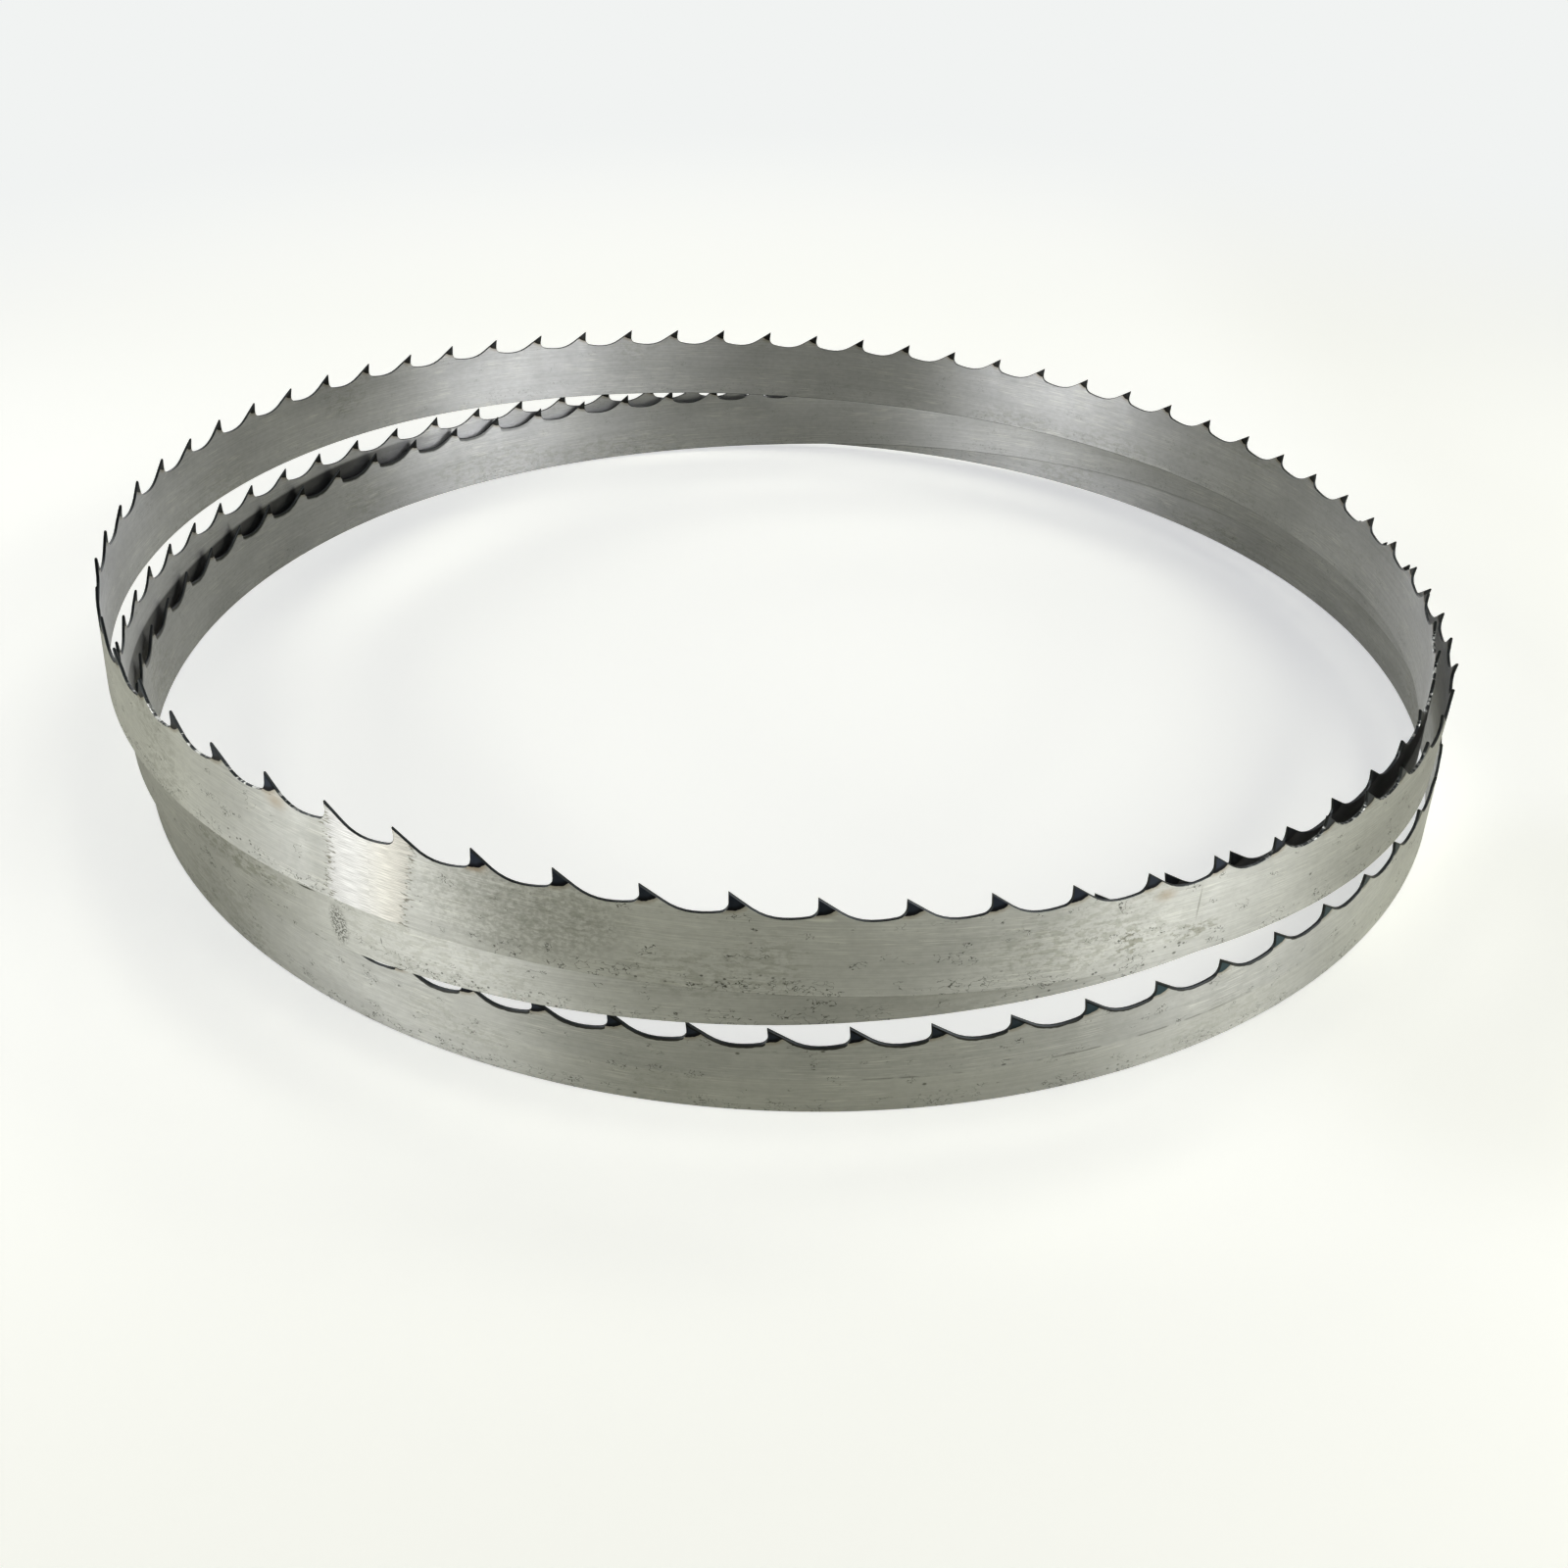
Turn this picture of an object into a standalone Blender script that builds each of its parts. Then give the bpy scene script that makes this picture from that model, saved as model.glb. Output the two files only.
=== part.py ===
"""An endless band saw blade, folded into three loops and lying on the floor with its teeth up.

The blade is one welded ring of flat spring steel. It is modelled the way it is made: one pitch of
band with its tooth is drawn flat, repeated along the whole length, given its thickness and its tooth
set, and only then wound round the folded path. Units are metres and +Z is up.
"""

import math

import bmesh
import bpy
import numpy as np

# The band
TEETH = 201
PITCH = 0.022  # tip to tip
WIDTH = 0.030  # back edge to tooth tips
THICKNESS = 0.0010
FIRST_TIP = 0.0184  # the first tooth's distance from the front of the first turn

# The tooth form: a straight back, a gullet of three tangent arcs and a short hooked face
BACK_ANGLE = math.radians(34)  # slope of the tooth's back
FLOOR_RISE = math.radians(14)  # how far the gullet's floor turns up before its tight corner
HOOK_ANGLE = math.radians(4)  # the face leans forward by this much
BACK_RADIUS = 0.62 * PITCH  # the radii of a saw tooth go with its pitch
FLOOR_RADIUS = 1.20 * PITCH
CORNER_RADIUS = 0.12 * PITCH
BACK_STEPS, FLOOR_STEPS, CORNER_STEPS = 3, 2, 4

# The set: teeth lean out, in, and stand straight, in turn
SET = 0.0004
SET_HEIGHT = 0.0040  # measured down from the tips
SET_ORDER = (1, -1, 0)

# How the three loops lie. Each turn is given at eight places, counted anticlockwise from above:
# front, front right, right, back right, back, back left, left, front left. A place holds the lane,
# 0 for the innermost of the three, the lane ring's radius in millimetres, and the height of the
# band's back edge above the floor as a number of band widths.
LANE_GAP = 0.0007  # clear space between the set teeth of neighbouring lanes
TURNS = (
    ((0, 227, 1.25), (0, 231, 1.22), (0, 228, 1.03), (0, 228, 0.99),
     (0, 227, 1.12), (0, 223, 1.72), (1, 222, 2.03), (2, 232, 2.15)),
    ((2, 232, 1.82), (1, 234, 1.29), (1, 231, 0.65), (1, 235, 0.55),
     (1, 246, 0.00), (1, 247, 0.03), (0, 234, 0.00), (0, 217, 0.00)),
    ((0, 222, 0.00), (2, 229, 0.00), (2, 235, 0.00), (2, 237, 0.00),
     (2, 247, 0.07), (2, 248, 0.20), (2, 231, 0.58), (1, 218, 0.82)),
)
PLACES_PER_TURN = 8
SAMPLES_PER_PLACE = 90

STEEL_COLOUR = (0.36, 0.37, 0.34, 1.0)
STEEL_ROUGHNESS = 0.38


def spline(values, where):
    """A smooth closed curve steered by evenly spaced values: a uniform cubic B-spline."""
    values = np.asarray(values, float)
    first = np.floor(where).astype(int)
    t = where - first
    weights = ((1 - t) ** 3, 3 * t**3 - 6 * t**2 + 4, -3 * t**3 + 3 * t**2 + 3 * t + 1, t**3)
    return sum(w * values[(first - 1 + k) % len(values)] for k, w in enumerate(weights)) / 6


def along(closed):
    """The change from each sample of a closed curve to the next, centred on the sample."""
    return (np.roll(closed, -1, axis=0) - np.roll(closed, 1, axis=0)) / 2


def unit(vectors):
    return vectors / np.linalg.norm(vectors, axis=1)[:, None]


def lengths(line):
    """Distance run along a closed line at each of its samples, and once round."""
    steps = np.linalg.norm(np.roll(line, -1, axis=0) - line, axis=1)
    return np.concatenate([[0], np.cumsum(steps)])


def folded_line():
    """Samples along the middle of the band's width, as long as all its pitches together.

    The rings are only proportions: they are stretched together until the line has its length, and
    each try brings it about a hundred times nearer.
    """
    places = [place for turn in TURNS for place in turn]
    lane_step = THICKNESS + 2 * SET + LANE_GAP
    where = np.arange(len(places) * SAMPLES_PER_PLACE) / SAMPLES_PER_PLACE
    angle = 2 * math.pi * where / PLACES_PER_TURN - math.pi / 2
    lane = spline([lane * lane_step for lane, _, _ in places], where)
    ring = spline([radius / 1000 for _, radius, _ in places], where)
    height = spline([height * WIDTH + WIDTH / 2 for _, _, height in places], where)
    for _ in range(6):
        radius = ring + lane
        line = np.stack([radius * np.cos(angle), radius * np.sin(angle), height], axis=1)
        ring = ring * TEETH * PITCH / lengths(line)[-1]
    return line


def tooth_outline():
    """The edge of one pitch as (distance along, height) from one gullet's lowest point to the next.

    The turtle starts at a tip and runs down the back, round the gullet and up the next face. The two
    straight runs are the lengths that bring it to the next tip.
    """
    arcs = (
        (BACK_RADIUS, -BACK_ANGLE, 0, BACK_STEPS),
        (FLOOR_RADIUS, 0, FLOOR_RISE, FLOOR_STEPS),
        (CORNER_RADIUS, FLOOR_RISE, math.pi / 2 + HOOK_ANGLE, CORNER_STEPS),
    )
    across = sum(r * (math.sin(b) - math.sin(a)) for r, a, b, _ in arcs)
    up = sum(r * (math.cos(a) - math.cos(b)) for r, a, b, _ in arcs)
    straight = np.array([
        [math.cos(BACK_ANGLE), -math.sin(HOOK_ANGLE)],
        [-math.sin(BACK_ANGLE), math.cos(HOOK_ANGLE)],
    ])
    back_run = np.linalg.solve(straight, [PITCH - across, -up])[0]

    x, z = back_run * math.cos(BACK_ANGLE), WIDTH - back_run * math.sin(BACK_ANGLE)
    points = [(0.0, WIDTH), (x, z)]
    for r, a, b, steps in arcs:
        for k in range(steps):
            start, end = a + (b - a) * k / steps, a + (b - a) * (k + 1) / steps
            x += r * (math.sin(end) - math.sin(start))
            z += r * (math.cos(start) - math.cos(end))
            points.append((x, z))
    lowest = 1 + BACK_STEPS
    before = [(x - PITCH, z) for x, z in points[lowest:]]
    return before + points[: lowest + 1]


def flat_pitch(bm):
    """One pitch of the band as a flat sheet in the XZ plane, cut upright beside its tooth."""
    outline = tooth_outline()
    corners = [(outline[-1][0], 0.0), (outline[0][0], 0.0)] + outline
    bm.faces.new([bm.verts.new((x, 0, z)) for x, z in corners])
    tip = outline.index((0.0, WIDTH))
    for beside in (outline[FLOOR_STEPS], outline[tip + 1]):
        bmesh.ops.bisect_plane(
            bm, geom=bm.verts[:] + bm.edges[:] + bm.faces[:],
            plane_co=(beside[0], 0, 0), plane_no=(1, 0, 0), dist=THICKNESS / 100,
        )
    return outline[0][0]


def repeat_along(bm):
    """Copies the pitch along X until the band is full length, and joins the copies."""
    bmesh.ops.spin(
        bm, geom=bm.verts[:] + bm.edges[:] + bm.faces[:], cent=(0, 0, 0), axis=(0, 0, 1),
        dvec=(PITCH, 0, 0), angle=0, steps=TEETH - 1, use_duplicate=True,
    )
    bmesh.ops.remove_doubles(bm, verts=bm.verts[:], dist=THICKNESS / 100)


def give_thickness(bm, start):
    """Extrudes the sheet to its thickness about Y = 0, leaving its two ends open."""
    made = bmesh.ops.extrude_face_region(bm, geom=bm.faces[:])
    raised = {v for v in made["geom"] if isinstance(v, bmesh.types.BMVert)}
    for v in bm.verts:
        v.co.y = THICKNESS / 2 if v in raised else -THICKNESS / 2
    ends = (start, start + TEETH * PITCH)
    caps = [
        f for f in bm.faces
        if any(all(abs(v.co.x - end) < THICKNESS / 100 for v in f.verts) for end in ends)
    ]
    bmesh.ops.delete(bm, geom=caps, context="FACES_ONLY")


def set_teeth(bm):
    """Leans the top of each tooth sideways, in the order of the set."""
    root = WIDTH - SET_HEIGHT
    for v in bm.verts:
        if v.co.z > root:
            tooth = math.floor(v.co.x / PITCH + 0.25) % TEETH
            v.co.y += SET_ORDER[tooth % len(SET_ORDER)] * SET * (v.co.z - root) / SET_HEIGHT


def wind(bm):
    """Bends the straight band round the folded line.

    A flat band bends across its face and never edgewise, so at every place its width stands square
    to the line's direction and to the way the line curves.
    """
    line = folded_line()
    direction = unit(along(line))
    inward = unit(along(direction))
    upward = np.cross(direction, inward)
    run = lengths(line)
    run *= TEETH * PITCH / run[-1]

    def at(samples, distance):
        closed = np.vstack([samples, samples[:1]])
        return np.stack([np.interp(distance, run, closed[:, k]) for k in range(3)], axis=1)

    flat = np.array([v.co for v in bm.verts])
    distance = (flat[:, 0] + FIRST_TIP) % (TEETH * PITCH)
    bent = (
        at(line, distance)
        - flat[:, 1:2] * at(inward, distance)
        + (flat[:, 2:3] - WIDTH / 2) * at(upward, distance)
    )
    for v, place in zip(bm.verts, bent):
        v.co = place
    bmesh.ops.remove_doubles(bm, verts=bm.verts[:], dist=THICKNESS / 100)


def stand_on_origin(bm):
    """Puts the coil on the floor with the middle of its outer size over the origin."""
    places = np.array([v.co for v in bm.verts])
    low, high = places.min(axis=0), places.max(axis=0)
    middle = (low + high) / 2
    bmesh.ops.translate(bm, verts=bm.verts[:], vec=(-middle[0], -middle[1], -low[2]))


def steel():
    material = bpy.data.materials.new("rolled_spring_steel")
    material.use_nodes = True
    shader = material.node_tree.nodes["Principled BSDF"]
    shader.inputs["Base Color"].default_value = STEEL_COLOUR
    shader.inputs["Metallic"].default_value = 1.0
    shader.inputs["Roughness"].default_value = STEEL_ROUGHNESS
    return material


def saw_blade():
    bm = bmesh.new()
    start = flat_pitch(bm)
    repeat_along(bm)
    give_thickness(bm, start)
    set_teeth(bm)
    wind(bm)
    bmesh.ops.recalc_face_normals(bm, faces=bm.faces[:])
    if bm.calc_volume(signed=True) < 0:
        bmesh.ops.reverse_faces(bm, faces=bm.faces[:])
    stand_on_origin(bm)
    mesh = bpy.data.meshes.new("saw_blade")
    bm.to_mesh(mesh)
    bm.free()
    mesh.materials.append(steel())
    blade = bpy.data.objects.new("saw_blade", mesh)
    bpy.context.scene.collection.objects.link(blade)
    return blade


for leftover in list(bpy.data.objects):
    bpy.data.objects.remove(leftover)
blade = saw_blade()
print("triangles:", sum(len(p.vertices) - 2 for p in blade.data.polygons))
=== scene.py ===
# %% [markdown]
# # A band saw blade, folded into three loops
#
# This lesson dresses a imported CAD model. The CAD part is one solid, the blade, and it is made of
# flat facets. Here the blade is modelled again with rounded edges and a smooth bend, in the same
# place, and it gets the steel that the photograph shows: cold-rolled, a little stained, blued at
# the tips of its teeth and ground bright at its weld. Lengths are in metres, and +Z is up.

# %% Load the CAD part
import math

import bmesh
import bpy
import numpy as np
from mathutils import Matrix, Vector


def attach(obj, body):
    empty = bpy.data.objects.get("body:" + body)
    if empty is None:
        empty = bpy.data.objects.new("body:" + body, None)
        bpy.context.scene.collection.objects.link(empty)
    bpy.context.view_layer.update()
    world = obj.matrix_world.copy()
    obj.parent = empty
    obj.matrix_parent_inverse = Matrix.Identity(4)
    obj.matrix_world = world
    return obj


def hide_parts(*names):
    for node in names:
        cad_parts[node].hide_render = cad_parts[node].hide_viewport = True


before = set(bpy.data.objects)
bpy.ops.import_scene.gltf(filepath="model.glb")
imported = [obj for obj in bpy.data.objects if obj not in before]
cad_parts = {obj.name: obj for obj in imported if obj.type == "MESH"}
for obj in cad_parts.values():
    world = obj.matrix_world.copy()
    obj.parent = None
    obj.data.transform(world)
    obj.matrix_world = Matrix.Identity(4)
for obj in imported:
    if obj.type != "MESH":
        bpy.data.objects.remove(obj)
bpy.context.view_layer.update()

# %% [markdown]
# ## Sizes
#
# These are the sizes of the real band. The fold is given at eight places a turn, as whole
# millimetres of radius and as band widths of height, and a spline makes a smooth line of it.

# %% Sizes of the band and its fold
MM = 0.001
TEETH = 201
PITCH = 22.0 * MM
WIDTH = 30.0 * MM
THICKNESS = 1.0 * MM
LENGTH = TEETH * PITCH

BACK_ANGLE = math.radians(34)
FLOOR_RISE = math.radians(14)
HOOK_ANGLE = math.radians(4)
BACK_RADIUS, FLOOR_RADIUS, CORNER_RADIUS = 0.62 * PITCH, 1.20 * PITCH, 0.12 * PITCH

SET = 0.4 * MM
SET_HEIGHT = 4.0 * MM  # measured down from the tips
SET_ORDER = (1, -1, 0)  # out, in, straight

LANE_GAP = 0.7 * MM  # clear space between the set teeth of neighbouring lanes
LANE_STEP = THICKNESS + 2 * SET + LANE_GAP
FIRST_TIP = 18.4 * MM
# Lane, radius in mm and height in band widths, from the front round to the right
TURNS = (
    ((0, 227, 1.25), (0, 231, 1.22), (0, 228, 1.03), (0, 228, 0.99),
     (0, 227, 1.12), (0, 223, 1.72), (1, 222, 2.03), (2, 232, 2.15)),
    ((2, 232, 1.82), (1, 234, 1.29), (1, 231, 0.65), (1, 235, 0.55),
     (1, 246, 0.00), (1, 247, 0.03), (0, 234, 0.00), (0, 217, 0.00)),
    ((0, 222, 0.00), (2, 229, 0.00), (2, 235, 0.00), (2, 237, 0.00),
     (2, 247, 0.07), (2, 248, 0.20), (2, 231, 0.58), (1, 218, 0.82)),
)
PLACES = [place for turn in TURNS for place in turn]
WELD_TOOTH = 60  # the weld lies in the gullet just before this tooth's tip
print("band:", round(LENGTH, 3), "m round,", TEETH, "teeth")

# %% [markdown]
# ## One tooth
#
# A band saw tooth is ground with a shaped wheel: a straight back, a gullet that sweeps round in
# arcs, and a short face that leans forward. A few points walk along those arcs, like a turtle that
# draws a line, and the flat sheet between them and the band's back edge is one pitch of blade.

# %% The edge of one pitch
def tooth_outline(back_steps=4, floor_steps=3, corner_steps=5):
    arcs = (
        (BACK_RADIUS, -BACK_ANGLE, 0, back_steps),
        (FLOOR_RADIUS, 0, FLOOR_RISE, floor_steps),
        (CORNER_RADIUS, FLOOR_RISE, math.pi / 2 + HOOK_ANGLE, corner_steps),
    )
    across = sum(r * (math.sin(b) - math.sin(a)) for r, a, b, _ in arcs)
    up = sum(r * (math.cos(a) - math.cos(b)) for r, a, b, _ in arcs)
    straight = np.array([
        [math.cos(BACK_ANGLE), -math.sin(HOOK_ANGLE)],
        [-math.sin(BACK_ANGLE), math.cos(HOOK_ANGLE)],
    ])
    back_run = np.linalg.solve(straight, [PITCH - across, -up])[0]
    x, z = back_run * math.cos(BACK_ANGLE), WIDTH - back_run * math.sin(BACK_ANGLE)
    points = [(0.0, WIDTH), (x, z)]
    for r, a, b, steps in arcs:
        for k in range(steps):
            start, end = a + (b - a) * k / steps, a + (b - a) * (k + 1) / steps
            x += r * (math.sin(end) - math.sin(start))
            z += r * (math.cos(start) - math.cos(end))
            points.append((x, z))
    lowest = 1 + back_steps
    return [(x - PITCH, z) for x, z in points[lowest:]] + points[: lowest + 1]


outline = tooth_outline()
START = outline[0][0]
print("gullet depth:", round(1000 * (WIDTH - outline[0][1]), 2), "mm")

# %% [markdown]
# The sheet is cut upright at a few places, so that it can bend, and once along the foot of the
# teeth, where they are set. It is pushed out to its thickness, its two cut ends are left open for
# the next pitch, and every long edge gets a tiny bevel, because a real edge always catches light.

# %% One pitch of band
UPRIGHT_CUTS = 4
ARRIS = 0.22 * MM  # the bevel that every long edge gets
SAME_PLACE = 0.01 * MM  # points nearer to each other than this are one point


def cut(bm, place, normal):
    bmesh.ops.bisect_plane(
        bm, geom=bm.verts[:] + bm.edges[:] + bm.faces[:], plane_co=place, plane_no=normal,
        dist=SAME_PLACE / 100,
    )


def one_pitch():
    bm = bmesh.new()
    corners = [(START + PITCH, 0.0), (START, 0.0)] + outline
    bm.faces.new([bm.verts.new((x, 0, z)) for x, z in corners])
    for k in range(1, UPRIGHT_CUTS):
        cut(bm, (START + k * PITCH / UPRIGHT_CUTS, 0, 0), (1, 0, 0))
    cut(bm, (0, 0, WIDTH - SET_HEIGHT), (0, 0, 1))
    made = bmesh.ops.extrude_face_region(bm, geom=bm.faces[:])["geom"]
    raised = {v for v in made if isinstance(v, bmesh.types.BMVert)}
    for v in bm.verts:
        v.co.y = THICKNESS / 2 if v in raised else -THICKNESS / 2
    ends = [
        f for f in bm.faces
        if any(all(abs(v.co.x - end) < SAME_PLACE for v in f.verts) for end in (START, START + PITCH))
    ]
    bmesh.ops.delete(bm, geom=ends, context="FACES_ONLY")
    bmesh.ops.recalc_face_normals(bm, faces=bm.faces[:])
    long_edges = [
        e for e in bm.edges
        if len(e.link_faces) == 2 and sum(abs(f.normal.y) > 0.5 for f in e.link_faces) == 1
    ]
    bmesh.ops.bevel(
        bm, geom=long_edges, offset=ARRIS, segments=1, profile=0.5, affect="EDGES", material=-1,
        clamp_overlap=True,
    )
    return bm


pitch = one_pitch()
print("faces in one pitch:", len(pitch.faces))

# %% [markdown]
# ## The straight band
#
# The pitch is repeated along the band, which is what a grinding machine does, and the copies are
# joined. Before the band is bent, each corner of each face keeps where it lies on the flat band, as
# a UV map: u runs along the band from the weld and v is the height over the back edge, in metres.
# The inner side gets its height below zero, so that the two sides don't show the same stains.

# %% Repeat the pitch and mark the flat places
FACING = 0.5  # a face whose normal has this much Y looks inwards or outwards
FLAT = 0.8  # with this much it belongs to the rolled faces, and not to a bevel or an edge


def straight_band(bm):
    bmesh.ops.spin(
        bm, geom=bm.verts[:] + bm.edges[:] + bm.faces[:], cent=(0, 0, 0), axis=(0, 0, 1),
        dvec=(PITCH, 0, 0), angle=0, steps=TEETH - 1, use_duplicate=True,
    )
    bmesh.ops.remove_doubles(bm, verts=bm.verts[:], dist=SAME_PLACE)
    bmesh.ops.recalc_face_normals(bm, faces=bm.faces[:])
    flat_map = bm.loops.layers.uv.new("band")
    for face in bm.faces:
        inner = face.normal.y < -FACING
        for loop in face.loops:
            x, _, z = loop.vert.co
            loop[flat_map].uv = (x, -z if inner else z)
        face.material_index = 0 if abs(face.normal.y) > FLAT else 1
        face.smooth = True


def set_teeth(bm):
    root = WIDTH - SET_HEIGHT
    for v in bm.verts:
        if v.co.z > root:
            tooth = math.floor(v.co.x / PITCH + 0.25) % TEETH
            v.co.y += SET_ORDER[tooth % len(SET_ORDER)] * SET * (v.co.z - root) / SET_HEIGHT


band = pitch
straight_band(band)
set_teeth(band)
print("faces in the band:", len(band.faces))

# %% [markdown]
# ## The fold
#
# A flat band bends across its face and never edgewise. So it is enough to know the line that the
# middle of the band follows: its width stands square to that line's direction and to the way the
# line curves, and the small lean of each loop follows by itself.

# %% Wind the band round its folded line
SAMPLES_PER_PLACE = 90
STRETCHING_ROUNDS = 6  # each brings the line about a hundred times nearer to its length
SHARP_FROM = math.radians(30)


def spline(values, where):
    values = np.asarray(values, float)
    first = np.floor(where).astype(int)
    t = where - first
    weights = ((1 - t) ** 3, 3 * t**3 - 6 * t**2 + 4, -3 * t**3 + 3 * t**2 + 3 * t + 1, t**3)
    return sum(w * values[(first - 1 + k) % len(values)] for k, w in enumerate(weights)) / 6


def unit(vectors):
    return vectors / np.linalg.norm(vectors, axis=1)[:, None]


def along(closed):
    return (np.roll(closed, -1, axis=0) - np.roll(closed, 1, axis=0)) / 2


def lengths(line):
    steps = np.linalg.norm(np.roll(line, -1, axis=0) - line, axis=1)
    return np.concatenate([[0], np.cumsum(steps)])


def folded_line():
    where = np.arange(len(PLACES) * SAMPLES_PER_PLACE) / SAMPLES_PER_PLACE
    angle = 2 * math.pi * where * len(TURNS) / len(PLACES) - math.pi / 2
    lane = spline([lane * LANE_STEP for lane, _, _ in PLACES], where)
    ring = spline([radius * MM for _, radius, _ in PLACES], where)
    height = spline([height * WIDTH + WIDTH / 2 for _, _, height in PLACES], where)
    for _ in range(STRETCHING_ROUNDS):
        radius = ring + lane
        line = np.stack([radius * np.cos(angle), radius * np.sin(angle), height], axis=1)
        ring = ring * LENGTH / lengths(line)[-1]
    return line


def wind(bm):
    line = folded_line()
    direction = unit(along(line))
    inward = unit(along(direction))
    upward = np.cross(direction, inward)
    run = lengths(line)
    run *= LENGTH / run[-1]

    def at(samples, distance):
        closed = np.vstack([samples, samples[:1]])
        return np.stack([np.interp(distance, run, closed[:, k]) for k in range(3)], axis=1)

    flat = np.array([v.co for v in bm.verts])
    distance = (flat[:, 0] + FIRST_TIP + WELD_TOOTH * PITCH) % LENGTH
    bent = (
        at(line, distance)
        - flat[:, 1:2] * at(inward, distance)
        + (flat[:, 2:3] - WIDTH / 2) * at(upward, distance)
    )
    low, high = bent.min(axis=0), bent.max(axis=0)
    shift = np.array([-(low[0] + high[0]) / 2, -(low[1] + high[1]) / 2, -low[2]])
    for v, place in zip(bm.verts, bent + shift):
        v.co = place
    bmesh.ops.remove_doubles(bm, verts=bm.verts[:], dist=SAME_PLACE)
    for e in bm.edges:
        e.smooth = len(e.link_faces) == 2 and e.calc_face_angle(0) < SHARP_FROM
    return Vector(shift)


moved = wind(band)
band.normal_update()
if band.calc_volume(signed=True) < 0:
    bmesh.ops.reverse_faces(band, faces=band.faces[:])
print("moved by, in mm:", [round(1000 * v, 2) for v in moved], "open edges:",
      sum(not e.is_manifold for e in band.edges))

# %% [markdown]
# ## The blade as a piece of the scene
#
# The band is one piece of steel, so it becomes one object. It stays at the origin without any
# scale, because its points already lie where the CAD part has them. It rides on the part's root
# body and takes the place of the CAD solid in the picture.

# %% Make the blade a piece of the scene
blade_mesh = bpy.data.meshes.new("blade")
band.to_mesh(blade_mesh)
band.free()
blade = bpy.data.objects.new("blade", blade_mesh)
bpy.context.scene.collection.objects.link(blade)
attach(blade, "root")
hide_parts("saw_blade")
print("triangles:", sum(len(p.vertices) - 2 for p in blade_mesh.polygons))

# %% [markdown]
# ## Colours and nodes
#
# Colours are written as they look on a screen and turned into the numbers that Blender works with.
# One small function adds any node, gives it its settings and joins what is handed to it.

# %% Colours and nodes
def colour(hex_code):
    parts = [int(hex_code[k:k + 2], 16) / 255 for k in (1, 3, 5)]
    return [c / 12.92 if c <= 0.04045 else ((c + 0.055) / 1.055) ** 2.4 for c in parts] + [1.0]


def node(tree, kind, settings=None, **inputs):
    """Adds a node. An input goes by its socket's name, with _ for a space, or by in0, in1, ..."""
    made = tree.nodes.new("ShaderNode" + kind)
    for name, value in (settings or {}).items():
        setattr(made, name, value)
    for name, value in inputs.items():
        key = int(name[2:]) if name[2:].isdigit() else name.replace("_", " ")
        if isinstance(value, bpy.types.Node):
            value = value.outputs[0]
        if isinstance(value, bpy.types.NodeSocket):
            tree.links.new(value, made.inputs[key])
        else:
            made.inputs[key].default_value = value
    return made


print("steel grey as Blender reads it:", [round(c, 3) for c in colour("#BDBEBB")])

# %% [markdown]
# ## Where a spot lies on the flat band
#
# Stains, scratches and the weld belong to the flat strip, not to the room. So the patterns read the
# map of the flat band, turned into millimetres: how far along from the first tooth after the weld,
# and how high over the back edge.

# %% Places on the band, in millimetres
def band_places(tree):
    flat = node(tree, "UVMap", {"uv_map": "band"})
    mm = node(tree, "VectorMath", {"operation": "SCALE"}, in0=flat, in3=1000.0)
    parts = node(tree, "SeparateXYZ", in0=mm)
    half = 1000 * LENGTH / 2
    x = node(tree, "Math", {"operation": "WRAP"}, in0=parts.outputs[0], in1=half, in2=-half)
    height = node(tree, "Math", {"operation": "ABSOLUTE"}, in0=parts.outputs[1])
    return mm, x, height, parts.outputs[1]


def grain(tree, mm, size, detail=2.0, roughness=0.5, seed=0.0):
    """Soft random patches. Their size along and across the band is in mm; each use has its seed."""
    scaled = node(
        tree, "Mapping", in0=mm, in1=(seed, seed * 0.37, 0), in3=(1 / size[0], 1 / size[1], 1)
    )
    return node(
        tree, "TexNoise", {"noise_dimensions": "2D"}, Vector=scaled, Scale=1.0, Detail=detail,
        Roughness=roughness,
    )


def between(tree, value, low, high, to_low=0.0, to_high=1.0):
    """Fades from one value to another while the input runs from low to high."""
    return node(
        tree, "MapRange", {"interpolation_type": "SMOOTHSTEP"}, in0=value, in1=low, in2=high,
        in3=to_low, in4=to_high,
    )


def times(tree, *values):
    product = values[0]
    for value in values[1:]:
        product = node(tree, "Math", {"operation": "MULTIPLY"}, in0=product, in1=value)
    return product


def tint(tree, under, over, cover):
    """Lays one colour over another, as far as the mask covers."""
    return node(tree, "MixRGB", {"blend_type": "MIX"}, Fac=cover, Color1=under, Color2=over)


def near(tree, place, spot, size, core=0.3):
    """1 in the core of an oval spot on the band and 0 from its rim on."""
    scaled = node(
        tree, "Mapping", {"vector_type": "TEXTURE"}, in0=place, in1=(*spot, 0), in3=(*size, 1)
    )
    away = node(tree, "VectorMath", {"operation": "LENGTH"}, in0=scaled).outputs[1]
    return between(tree, away, 1.0, core)


def most(tree, *values):
    largest = values[0]
    for value in values[1:]:
        largest = node(tree, "Math", {"operation": "MAXIMUM"}, in0=largest, in1=value)
    return largest


print("the map wraps at", round(1000 * LENGTH / 2), "mm either way from the weld")

# %% [markdown]
# ## Cold-rolled spring steel
#
# The strip is carbon spring steel, hardened and tempered and then rolled to its thickness. The rolls
# leave lines along the strip that are too fine to see one by one, and they smear a highlight across
# them, so the light stands in upright bands. That is what the anisotropic setting does, turned by a
# quarter because the highlight runs across the grain. Tempering leaves a thin grey-green skin.

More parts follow.
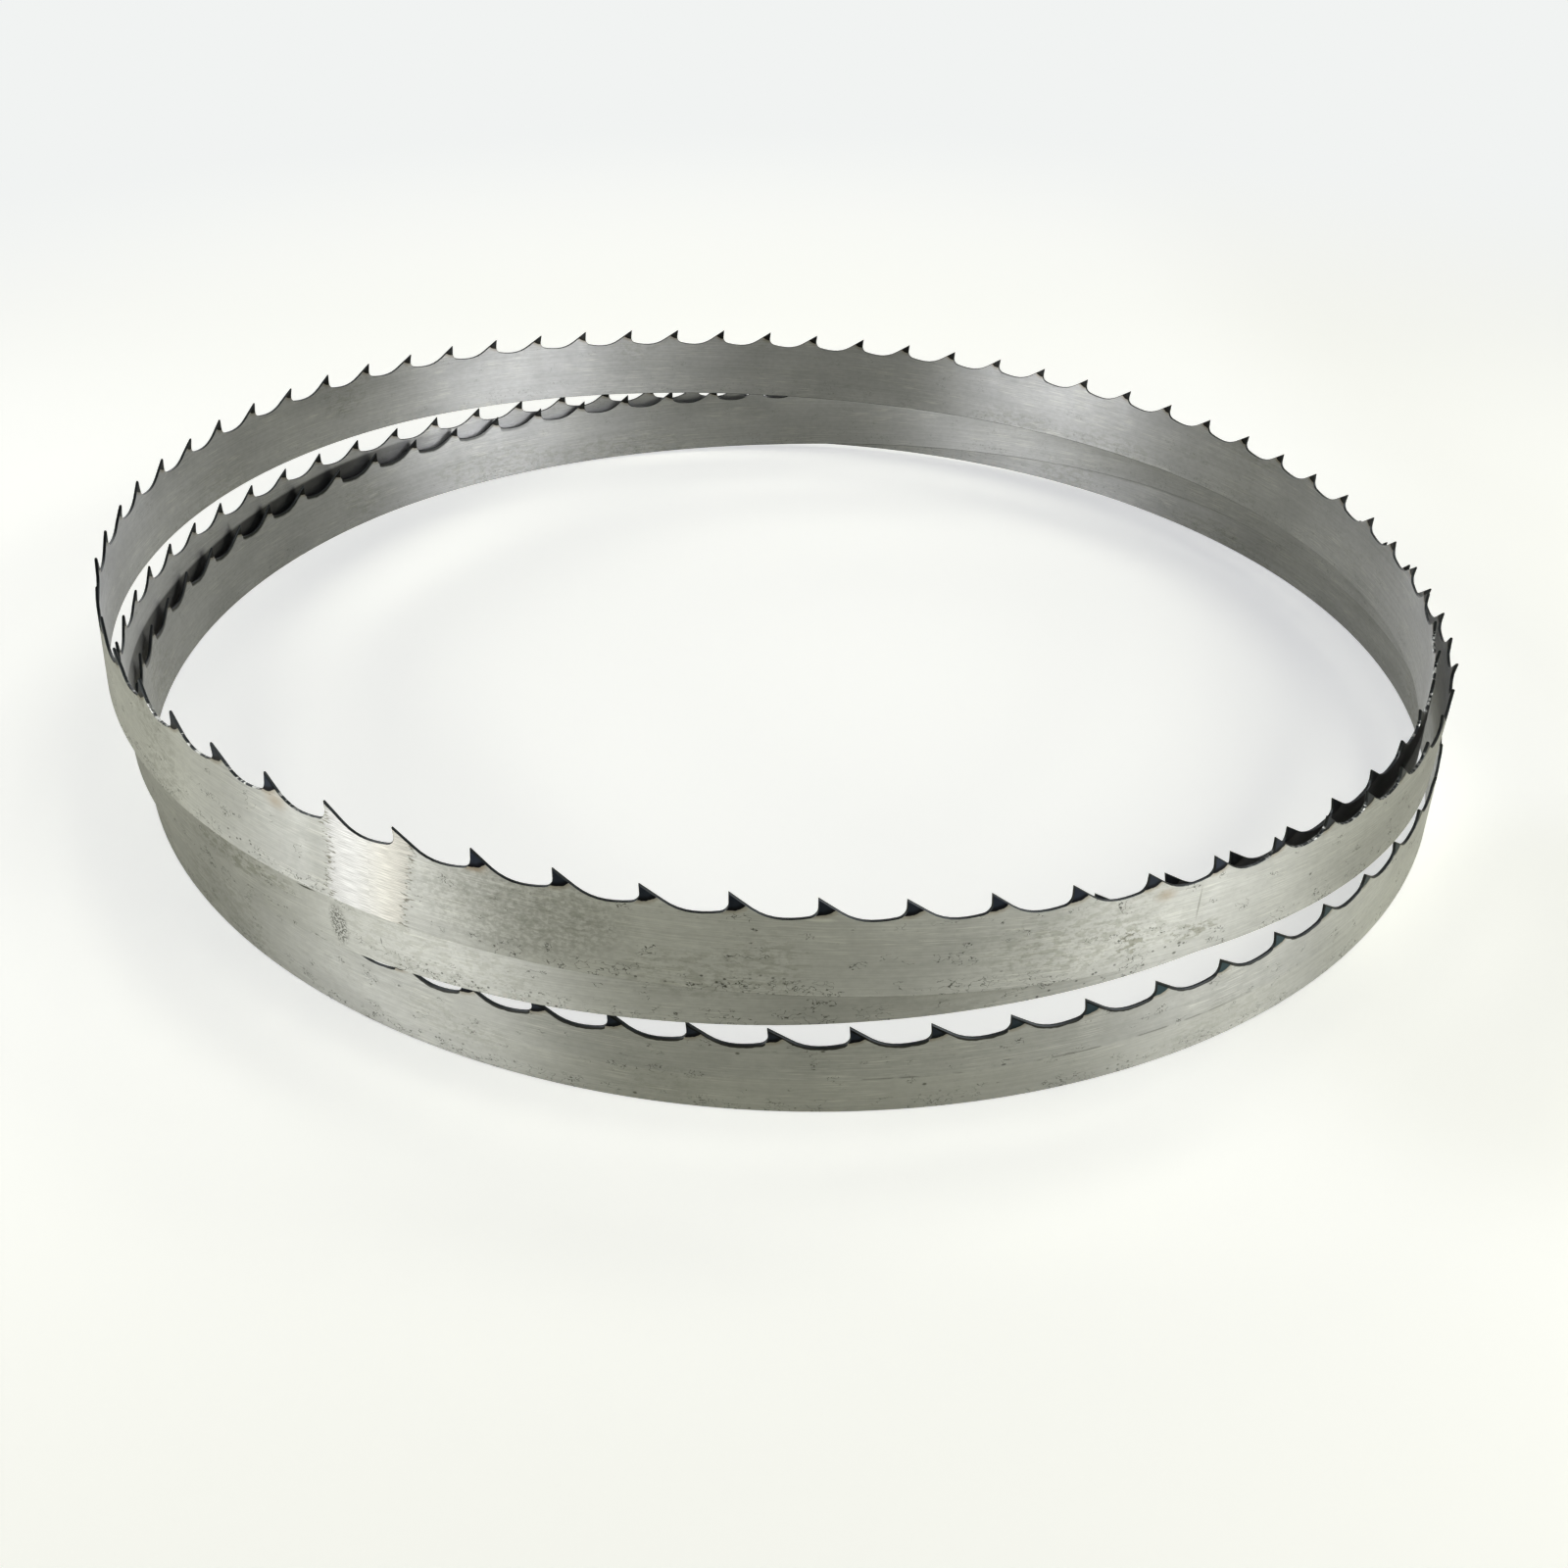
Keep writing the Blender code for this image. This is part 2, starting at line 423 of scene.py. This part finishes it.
# %% Steel: the colour of the rolled faces
# Painted highlights and shade: the middle and half length of each stretch in mm, and how much paler
# it is
PAINTED_LIGHT_STRETCHES = (
    (190, 210, 0.07), (-112, 60, 0.41), (-60, 16, 0.05), (8, 14, -0.04), (45, 55, 0.13),
    (68, 55, 0.08), (152, 30, -0.06), (194, 22, 0.07), (228, 24, -0.08), (250, 40, 0.05),
    (-1425, 80, 0.16), (1835, 80, 0.40), (1620, 120, -0.09),
)
steel = bpy.data.materials.new("cold_rolled_spring_steel")
steel.use_nodes = True
tree = steel.node_tree
shader = tree.nodes["Principled BSDF"]
mm, x, height, height_signed = band_places(tree)

streaks = between(tree, grain(tree, mm, (60, 0.45), 3, 0.6, 3), 0.3, 0.7, 0.94, 1.055)
strips = between(tree, grain(tree, mm, (420, 3.2), 2, 0.5, 11), 0.3, 0.7, 0.98, 1.02)
clouds = between(tree, grain(tree, mm, (46, 22), 2, 0.5, 5), 0.35, 0.65, 0.94, 1.05)
mottle = between(tree, grain(tree, mm, (3.2, 1.6), 3, 0.6, 7), 0.3, 0.7, 0.96, 1.04)
where_along = node(tree, "CombineXYZ", X=x)
# Painted light: these stretches lighten the band as painted highlights, or darken it as painted shade
# where the amount is below zero
paler = 0.98
for middle, reach, amount in PAINTED_LIGHT_STRETCHES:
    paler = node(
        tree, "Math", {"operation": "MULTIPLY_ADD"}, in1=amount, in2=paler,
        in0=near(tree, where_along, (middle, 0), (reach, 1), 0.4),
    )
grain_and_painted_light = times(tree, streaks, strips, clouds, mottle, paler)
outer_side = node(tree, "Math", {"operation": "GREATER_THAN"}, in0=height_signed, in1=0.0)
inner_side = node(tree, "Math", {"operation": "SUBTRACT"}, in0=1.0, in1=outer_side)
bare = tint(tree, colour("#BABBBD"), colour("#BDBEBB"), outer_side)
skin = node(tree, "VectorMath", {"operation": "SCALE"}, in0=bare, in3=grain_and_painted_light)
print("pale stretches:", len(PAINTED_LIGHT_STRETCHES), "nodes so far:", len(tree.nodes))

# %% [markdown]
# Where the tempering skin has come off in part, the steel shows a pattern like camouflage: darker,
# browner islands a few millimetres wide. It comes and goes along the strip.

# %% Islands of darker skin
place = node(tree, "CombineXYZ", X=x, Y=height)
islands = between(tree, grain(tree, mm, (4.4, 1.9), 3, 0.6, 21), 0.49, 0.57)
where = most(
    tree,
    times(tree, between(tree, grain(tree, mm, (75, 40), 1, 0.5, 31), 0.54, 0.68), 0.35),
    times(tree, near(tree, place, (182, 12), (42, 15)), 0.52),
    near(tree, place, (196, 9), (9, 8)),
    times(tree, near(tree, place, (216, 8), (14, 4)), 0.9),
    times(tree, near(tree, place, (38, 16), (34, 14)), 0.4),
    times(tree, near(tree, place, (-1515, 14), (40, 7)), 0.8),
)
paint = tint(tree, skin, colour("#80806D"), times(tree, islands, where, 0.6))
crumbs = between(tree, grain(tree, mm, (1.3, 0.8), 2, 0.6, 25), 0.56, 0.64)
paint = tint(tree, paint, colour("#5E5E50"), times(tree, crumbs, where, 0.35))
peel = between(tree, grain(tree, mm, (1.7, 1.2), 3, 0.6, 27), 0.44, 0.56)
peeling = near(tree, place, (34, 15), (36, 17), 0.6)
paint = tint(tree, paint, colour("#90918A"), times(tree, peel, peeling, 0.34))
print("islands, crumbs and peel; nodes so far:", len(tree.nodes))

# %% [markdown]
# Handling and rust leave their own marks: pits, short dark curls where the skin cracked, light
# scratches along the band, and brown breath under some of the teeth. The curls are a trick with
# noise: wherever its value passes one half there is a thin line, and a second noise keeps only short
# stretches of it.

# %% Pits, dark curls and light scratches
PIT_SPACING = (3.4, 2.6)  # along and across the band, in mm
cells = node(
    tree, "TexVoronoi", {"voronoi_dimensions": "2D", "feature": "F1"},
    Vector=node(tree, "Mapping", in0=mm, in3=(1 / PIT_SPACING[0], 1 / PIT_SPACING[1], 1)), Scale=1.0,
)
dots = between(tree, cells.outputs["Distance"], 0.16, 0.08)
pitted = between(tree, grain(tree, mm, (28, 9), 2, 0.6, 41), 0.56, 0.66)
low_down = between(tree, height, 8.0, 4.0, 0.15, 1.0)
on_this_side = node(tree, "Math", {"operation": "MULTIPLY_ADD"}, in0=outer_side, in1=0.65, in2=0.35)
pits = times(tree, dots, pitted, low_down, on_this_side, 0.75)
paint = tint(tree, paint, colour("#3B3C36"), pits)

curls = grain(tree, mm, (3.6, 2.2), 2, 0.55, 51)
off_line = node(tree, "Math", {"operation": "SUBTRACT"}, in0=curls, in1=0.5)
off_line = node(tree, "Math", {"operation": "ABSOLUTE"}, in0=off_line)
hairs = between(tree, off_line, 0.020, 0.006)
few = between(tree, grain(tree, mm, (9, 6), 1, 0.5, 61), 0.64, 0.70)
many = between(tree, grain(tree, mm, (9, 6), 1, 0.5, 65), 0.50, 0.56)
many = times(tree, many, between(tree, height, 6.0, 3.5))
cracks = times(tree, hairs, most(tree, few, many), on_this_side, 0.85)
paint = tint(tree, paint, colour("#3F4039"), cracks)

scratches = between(tree, grain(tree, mm, (12, 0.34), 1, 0.5, 71), 0.58, 0.68)
rubbed = between(tree, grain(tree, mm, (30, 12), 1, 0.5, 81), 0.42, 0.58)
smear = times(tree, near(tree, place, (111, 23.7), (5, 0.8)), 1.6)
light_marks = most(tree, times(tree, scratches, rubbed, 0.9), smear)
paint = tint(tree, paint, colour("#E2E3DC"), times(tree, light_marks, 0.45))
print("pits, curls and scratches; nodes so far:", len(tree.nodes))

# %% [markdown]
# Some marks have their own place on the blade: a broken line that the rolls pressed along it, with
# paler steel below, a speckled patch where the next loop lay against the fresh weld, a short dark
# scrape, a few nicks, and the rust.

# %% Marks with a place of their own
LINE_HEIGHT = 11.8  # in mm, as all places here are
NICKS = (
    (1599, 22.2), (1576, 20.6), (1627, 8.8), (1547, 2.2), (212.7, 4.9), (211.6, 2.0), (262, 12.0)
)
RUST_SPOTS = (((-39.5, 23.2), (6, 3.6)), ((205, 22.0), (5, 3.0)), ((23.5, 25.0), (5.5, 2.4)))
broken = between(tree, grain(tree, mm, (9, 3), 2, 0.6, 131), 0.42, 0.52)
stretch = near(tree, place, (1668, LINE_HEIGHT), (75, 100), 0.6)
line = node(tree, "Math", {"operation": "COMPARE"}, in0=height, in1=LINE_HEIGHT, in2=0.28)
line = times(tree, line, broken, stretch, 0.45)
paint = tint(tree, paint, colour("#4C4D45"), line)
below = between(tree, height, LINE_HEIGHT + 0.1, LINE_HEIGHT - 0.4)
below = times(tree, below, near(tree, place, (1640, LINE_HEIGHT), (170, 100), 0.5))
paint = tint(tree, paint, colour("#D5D6CC"), times(tree, below, 0.16))

speckled = times(
    tree, near(tree, place, (-1470, 8.5), (4.2, 8.5), 0.5),
    between(tree, grain(tree, mm, (0.9, 0.7), 2, 0.6, 141), 0.44, 0.56),
)
scrape = times(tree, near(tree, place, (-1481, 17.2), (5.0, 0.5)), 1.3)
comma = near(tree, place, (-1454, 8.3), (0.35, 1.6))
nicks = most(tree, *(near(tree, place, spot, (0.9, 0.6)) for spot in NICKS))
paint = tint(
    tree, paint, colour("#4A4B43"), times(tree, most(tree, speckled, scrape, comma, nicks), 0.75)
)
nail = near(tree, place, (216.9, 16.5), (0.35, 7.0))
paint = tint(tree, paint, colour("#77776D"), times(tree, nail, 0.6))

rust = most(tree, *(near(tree, place, spot, size, 0.0) for spot, size in RUST_SPOTS))
paint = tint(tree, paint, colour("#A08C72"), times(tree, rust, 0.5))
print("single marks and rust; nodes so far:", len(tree.nodes))

# %% [markdown]
# ## The ground weld
#
# The band is butt-welded, and the bead and its burnt skin are ground away on both sides. The ground
# patch is the brightest steel on the blade. Its left rim stands upright, where the grinder was set
# down, and its right rim leans. Both are a little ragged, because no two passes end alike.

# %% The ground patch
LEFT_RIM, RIGHT_RIM = -21.0, 1.5  # in mm from the tooth after the weld
RIM_LEAN = -0.17
passes = grain(tree, mm, (26, 0.9), 2, 0.6, 91)
ragged = node(tree, "Math", {"operation": "MULTIPLY_ADD"}, in0=passes, in1=7.0, in2=-3.5)
slant = node(tree, "Math", {"operation": "MULTIPLY_ADD"}, in0=height, in1=RIM_LEAN, in2=x)
right_rim = node(tree, "Math", {"operation": "ADD"}, in0=slant, in1=ragged)
left_rim = node(tree, "Math", {"operation": "ADD"}, in0=x, in1=ragged)
ground_mask = times(
    tree, between(tree, left_rim, LEFT_RIM - 1.0, LEFT_RIM + 1.0),
    between(tree, right_rim, RIGHT_RIM + 0.7, RIGHT_RIM - 0.7),
)
grinding = between(tree, grain(tree, mm, (6, 0.24), 2, 0.6, 101), 0.3, 0.7, 0.74, 1.10)
# Painted highlight: the middle of the ground patch is made paler and its rims darker, where a lamp's
# upright band of light crosses it
painted_highlight_middle = between(tree, near(tree, place, (-9, 15), (15, 40)), 0.0, 1.0, 0.87, 1.04)
ground_steel = node(
    tree, "VectorMath", {"operation": "SCALE"},
    in0=tint(tree, colour("#D8D8D8"), colour("#DAD8D2"), between(tree, x, -14.0, -1.0)),
    in3=times(tree, grinding, painted_highlight_middle),
)
burnt = times(tree, near(tree, place, (-25, 12), (6, 24), 0.0), passes, 0.45)
paint = tint(tree, paint, colour("#74756B"), burnt)
paint = tint(tree, paint, ground_steel, ground_mask)
dashes = between(tree, grain(tree, mm, (2.2, 0.55), 2, 0.6, 161), 0.52, 0.60)
at_left = times(
    tree, between(tree, left_rim, LEFT_RIM - 2.0, LEFT_RIM - 1.0),
    between(tree, left_rim, LEFT_RIM + 1.4, LEFT_RIM + 0.4),
)
at_right = times(
    tree, between(tree, right_rim, RIGHT_RIM - 1.1, RIGHT_RIM - 0.1),
    between(tree, right_rim, RIGHT_RIM + 2.1, RIGHT_RIM + 0.7),
)
dashes = times(tree, dashes, most(tree, at_left, at_right), 0.8)
paint = tint(tree, paint, colour("#6A675A"), dashes)
print("ground weld; nodes so far:", len(tree.nodes))

# %% [markdown]
# ## Blued tips
#
# Only the tips are hardened, by a short shot of current, and the heat blues them: a dark patch with
# a sharp rim, and a trace of straw colour outside it. The grinder took the blue off at the weld.

# %% Blued tips
HALF_PITCH = 500 * PITCH  # in mm, because the map is in mm
HOT_SPOT = (0.3, 31.0, 0)  # just over the tip, where the current went in
BLUE_REACH, STRAW_REACH = 6.4, 7.8
from_tip = node(tree, "Math", {"operation": "WRAP"}, in0=x, in1=HALF_PITCH, in2=-HALF_PITCH)
in_tooth = node(tree, "CombineXYZ", X=from_tip, Y=height)
reach = node(tree, "VectorMath", {"operation": "DISTANCE"}, in0=in_tooth, in1=HOT_SPOT)
wobble = grain(tree, mm, (1.6, 1.6), 1, 0.5, 111)
reach = node(tree, "Math", {"operation": "MULTIPLY_ADD"}, in0=wobble, in1=0.5, in2=reach.outputs[1])
at_weld = node(
    tree, "Math", {"operation": "COMPARE"}, in0=x, in1=-HALF_PITCH, in2=2 * HALF_PITCH
)
elsewhere = node(tree, "Math", {"operation": "SUBTRACT"}, in0=1.0, in1=at_weld)
reach = node(tree, "Math", {"operation": "MULTIPLY_ADD"}, in0=inner_side, in1=1.2, in2=reach)
straw = between(tree, reach, STRAW_REACH, BLUE_REACH)
paint = tint(tree, paint, colour("#8D7F66"), times(tree, straw, elsewhere, 0.5))
blued = times(tree, between(tree, reach, BLUE_REACH, BLUE_REACH - 0.15), elsewhere)
blue = tint(tree, colour("#2E333D"), colour("#15161A"), between(tree, reach, 4.6, 5.8))
petrol = near(tree, where_along, (1745, 0), (130, 1))
blue = tint(tree, blue, colour("#3A4C51"), times(tree, petrol, 0.8))
blue = tint(tree, blue, colour("#302F2B"), times(tree, inner_side, 0.7))
paint = tint(tree, paint, blue, blued)
print("blued tips; nodes so far:", len(tree.nodes))

# %% [markdown]
# Between the loops hardly any light gets in, so the shade there is painted into the colour. The
# outer side of the inner loop at the front right is painted close to black, and so is the inner side
# of the third loop at the left, just over the rim of the loop in front of it.

# %% Painted shade between the loops
# Painted shade on the outer side of the inner loop at the front right
painted_shade_front_right = times(tree, near(tree, place, (-1128, 28), (125, 14), 0.85), outer_side)
paint = tint(tree, paint, colour("#202122"), times(tree, painted_shade_front_right, 0.85))

# Painted shade on the inner side of the third loop, just over the rim of the loop in front of it
rim = between(tree, x, -1720.0, -1900.0, 14.6, 23.6)
over_rim = node(tree, "Math", {"operation": "SUBTRACT"}, in0=height, in1=rim)
painted_shade_back_left = near(tree, place, (-1770, 18), (165, 60), 0.5)
painted_shade_back_left = times(tree, between(tree, over_rim, 0.4, -1.2), painted_shade_back_left, inner_side)
paint = tint(tree, paint, colour("#1E1E1D"), times(tree, painted_shade_back_left, 0.8))
print("front_shade and back_shade; nodes so far:", len(tree.nodes))

# %% [markdown]
# A thin dark line runs along the gullets on the lower loop at the front. At the back left a wider
# dark band is painted shade: the dark zigzag in the gap in front of the next loop. A curve holds the
# outline of one tooth, and so it says how far a spot lies under the ground edge. That is simpler than
# one more strip of faces along every gullet.

# %% A dark line and painted shade along the gullets
def edge_height(tree, x):
    """The height of the ground edge over a place along the band, in millimetres.

    The face leans forward, and a curve can't turn back, so the points under the tip are left out.
    """
    tip = outline.index((0.0, WIDTH))
    shape = [point for point in outline[:tip] if point[0] < -0.1 * MM] + outline[tip:]
    one_pitch_on = node(
        tree, "Math", {"operation": "WRAP"}, in0=x, in1=1000 * (START + PITCH), in2=1000 * START
    )
    share = node(tree, "MapRange", in0=one_pitch_on, in1=1000 * START, in2=1000 * (START + PITCH))
    curve = node(tree, "FloatCurve", Value=share)
    points = curve.mapping.curves[0].points
    places = [((u - START) / PITCH, z / WIDTH) for u, z in shape]
    points[0].location, points[1].location = places[0], places[-1]
    for place_on_curve in places[1:-1]:
        points.new(*place_on_curve)
    for point in points:
        point.handle_type = "VECTOR"
    curve.mapping.update()
    return node(tree, "Math", {"operation": "MULTIPLY"}, in0=curve, in1=1000 * WIDTH)


under_edge = node(tree, "Math", {"operation": "SUBTRACT"}, in0=edge_height(tree, x), in1=height)
uneven = between(tree, grain(tree, mm, (4, 4), 2, 0.5, 171), 0.3, 0.7, -0.12, 0.12)
under_edge = node(tree, "Math", {"operation": "ADD"}, in0=under_edge, in1=uneven)
front = times(
    tree, between(tree, x, 1468.0, 1482.0), between(tree, x, 1850.0, 1640.0, 0.0, 0.55), outer_side
)
dark_line_width = node(tree, "Math", {"operation": "SUBTRACT"}, in0=under_edge, in1=front)
dark_line_and_painted_shade = times(tree, between(tree, dark_line_width, 0.48, 0.34), between(tree, front, 0.02, 0.06))
# Painted shade: at the back left the wide dark band over the rim stands for the shade in the gap in
# front of the next loop
left = times(tree, near(tree, where_along, (1130, 0), (190, 1), 0.5), inner_side)
dark_line_and_painted_shade = most(tree, dark_line_and_painted_shade, times(tree, between(tree, under_edge, 2.0, 0.9), left))
paint = tint(tree, paint, colour("#1C1D1B"), times(tree, dark_line_and_painted_shade, 0.92))
print("black burr; nodes so far:", len(tree.nodes))

# %% [markdown]
# All these layers together are one colour, stains and painted light and shade alike, because they
# lie on the steel and don't change what it is: bare metal all over. Only the islands are a little
# duller than the rest. The tangent, which is the direction that the anisotropic setting needs, comes
# from the same flat map.

# %% Join the colour to the shader
tree.links.new(paint.outputs[0], shader.inputs["Base Color"])
shader.inputs["Metallic"].default_value = 1.0
shader.inputs["Anisotropic"].default_value = 0.85
shader.inputs["Anisotropic Rotation"].default_value = 0.25
node_tangent = node(tree, "Tangent", {"direction_type": "UV_MAP", "uv_map": "band"})
tree.links.new(node_tangent.outputs[0], shader.inputs["Tangent"])
dull = between(tree, islands, 0.0, 1.0, 0.42, 0.45)
tree.links.new(dull.outputs[0], shader.inputs["Roughness"])
blade_mesh.materials.append(steel)
print("nodes in the steel:", len(tree.nodes))

# %% [markdown]
# ## The ground edges
#
# The gullets are ground with a shaped wheel. Their edges are painted darker than the faces as
# painted shade, with painted highlights in speckled stretches. The edges and their bevels are faces
# of their own, so they get a second steel.

# %% The edge faces
# Painted highlights lie in these stretches of the ground edges
PAINTED_HIGHLIGHT_STRETCHES = ((-75, 62), (285, 60), (-1070, 60))  # the middle and half length in mm
edge = bpy.data.materials.new("ground_gullet_edge")
edge.use_nodes = True
tree = edge.node_tree
shader = tree.nodes["Principled BSDF"]
mm, x, height, _ = band_places(tree)
where_along = node(tree, "CombineXYZ", X=x)
highlight_speckle = between(tree, grain(tree, mm, (2.6, 0.9), 2, 0.6, 121), 0.50, 0.60)
stretches = most(
    tree, *(near(tree, where_along, (middle, 0), (half, 1)) for middle, half in PAINTED_HIGHLIGHT_STRETCHES)
)
bright = times(tree, highlight_speckle, between(tree, height, 26.6, 25.6), stretches)
# Painted shade: the dark base colour of the edges; painted highlight: the pale speckles in the
# stretches
painted_shade_and_highlight = tint(tree, colour("#3A3D3E"), colour("#C4C6C1"), bright)
tree.links.new(painted_shade_and_highlight.outputs[0], shader.inputs["Base Color"])
shader.inputs["Metallic"].default_value = 1.0
shader.inputs["Roughness"].default_value = 0.42
blade_mesh.materials.append(edge)
print("nodes in the ground edge:", len(tree.nodes))

# %% [markdown]
# ## The floor
#
# The blade stands on seamless white paper, which a photographer exposes until it is nearly white
# everywhere. So the paper is a plain matt surface that takes the blade's soft shadow, and to the
# camera alone it glows a little as well: that whitens the background without any more light on the
# blade. Further out the glow takes over, so that the paper has no dark end.

# %% The floor
GLOW = 0.44  # how much the paper glows to the camera
floor_mesh = bpy.data.meshes.new("floor")
bm = bmesh.new()
bmesh.ops.create_grid(bm, x_segments=1, y_segments=1, size=6.0)
bm.to_mesh(floor_mesh)
bm.free()
floor = bpy.data.objects.new("floor", floor_mesh)
bpy.context.scene.collection.objects.link(floor)
paper = bpy.data.materials.new("white_paper")
paper.use_nodes = True
tree = paper.node_tree
shader = tree.nodes["Principled BSDF"]
shader.inputs["Base Color"].default_value = colour("#F4F4E2")
shader.inputs["Roughness"].default_value = 0.9
shader.inputs["Specular IOR Level"].default_value = 0.0
seen = node(tree, "LightPath").outputs["Is Camera Ray"]
spot = node(tree, "TexCoord").outputs["Object"]
across = node(tree, "SeparateXYZ", in0=spot)
# Painted shade on the paper: the glow fades to the right, to the front and to the back, and a painted
# soft shadow lies at the right front, where the lower loop leaves the floor
glow_with_painted_shade = times(
    tree, seen, GLOW, between(tree, across.outputs[0], 0.20, 0.34, 1.0, 0.80),
    between(tree, across.outputs[1], -0.12, -0.42, 1.0, 0.68),
    between(tree, across.outputs[1], 0.20, 0.50, 1.0, 0.84),
    between(tree, near(tree, spot, (0.25, -0.18), (0.17, 0.14)), 0.0, 1.0, 1.0, 0.78),
)
glow = node(tree, "Emission", Color=colour("#EFF1FF"), Strength=glow_with_painted_shade)
both = node(tree, "AddShader", in0=shader.outputs[0], in1=glow.outputs[0])
far_glow = node(tree, "Emission", Color=colour("#F1F3F2"), Strength=1.0)
away = node(tree, "VectorMath", {"operation": "LENGTH"}, in0=spot)
far = times(tree, seen, between(tree, away.outputs[1], 0.35, 0.95))
paper_shader = node(tree, "MixShader", in0=far, in1=both.outputs[0], in2=far_glow.outputs[0])
tree.links.new(paper_shader.outputs[0], tree.nodes["Material Output"].inputs["Surface"])
floor_mesh.materials.append(paper)
print("floor:", [round(v, 1) for v in floor.dimensions], "m")

# %% [markdown]
# ## Camera
#
# The camera stands in front of the coil and looks down on it by about thirty degrees, from two
# thirds of a metre away. Its place and its lens were fitted to the tips of the teeth, so that each
# tooth falls within a few pixels of its place in the photograph. It keeps everything sharp.

# %% Camera
camera = bpy.data.objects.new("camera", bpy.data.cameras.new("camera"))
bpy.context.scene.collection.objects.link(camera)
bpy.context.scene.camera = camera
ELEVATION, DISTANCE, ROLL = math.radians(30.502), 0.67096, math.radians(0.353)
PICTURE, FOCAL = 1600, 1787.626  # the picture's side and the focal length, both in its pixels
SHIFT = (-9.394, -14.393)
SENSOR = 36.0
AIM = Vector((0.00539, -0.05016, 0)) + Vector((moved.x, moved.y, 0))
tripod = Vector((0, -math.cos(ELEVATION), math.sin(ELEVATION))) * DISTANCE
tripod += Vector((moved.x, moved.y, 0))
forward = (AIM - tripod).normalized()
right = forward.cross(Vector((0, 0, 1))).normalized()
up = right.cross(forward)
turned = Matrix((right, up, -forward)).transposed().to_4x4() @ Matrix.Rotation(ROLL, 4, "Z")
camera.matrix_world = Matrix.Translation(tripod) @ turned
camera.data.sensor_width = SENSOR
camera.data.lens = FOCAL / PICTURE * SENSOR
camera.data.shift_x, camera.data.shift_y = (pixels / PICTURE for pixels in SHIFT)
camera.data.clip_start = 0.01
print("camera at:", [round(v, 3) for v in camera.matrix_world.translation], "lens in mm:",
      round(camera.data.lens, 1))

# %% [markdown]
# ## Light
#
# Rolled steel shows its lamps as upright bands of light. Their places tell where the lamps stand:
# one soft box to the left and one to the right, each about sixty degrees round from the camera and
# low down, with a weaker one above each. Three more behind the coil light the paper and the far
# side. The world is white to the camera alone and lights nothing.

# %% Lamps
LAMP_COLOUR = (1.0, 1.0, 1.0)


def soft_box(name, azimuth, elevation, size, watts, distance=1.6):
    lamp = bpy.data.lights.new(name, "AREA")
    lamp.shape = "RECTANGLE"
    lamp.size, lamp.size_y = size
    lamp.energy = watts
    lamp.color = LAMP_COLOUR
    side, lift = math.radians(azimuth), math.radians(elevation)
    flat = math.cos(lift)
    towards = Vector((math.sin(side) * flat, -math.cos(side) * flat, math.sin(lift)))
    stand = bpy.data.objects.new(name, lamp)
    stand.location = towards * distance
    stand.rotation_euler = (-towards).to_track_quat("-Z", "Y").to_euler()
    stand.visible_camera = False
    bpy.context.scene.collection.objects.link(stand)


soft_box("left_box", -56, 14, (0.95, 0.5), 10.3)
soft_box("left_high", -80, 35, (0.7, 0.5), 4.8)
soft_box("right_box", 63, 14, (1.0, 0.5), 10.0)
soft_box("right_high", 54, 36, (1.3, 0.5), 7.6)
soft_box("back_right", 120, 60, (0.7, 0.7), 4.5)
soft_box("back_left", -150, 38, (0.8, 0.5), 3.0)
soft_box("back_wall", 180, 12, (1.6, 0.7), 10.0)
world = bpy.data.worlds.new("world")
bpy.context.scene.world = world
world.use_nodes = True
tree = world.node_tree
sky = tree.nodes["Background"]
sky.inputs["Color"].default_value = colour("#F1F3F2")
tree.links.new(node(tree, "LightPath").outputs["Is Camera Ray"], sky.inputs["Strength"])
bpy.context.scene.view_settings.view_transform = "Standard"
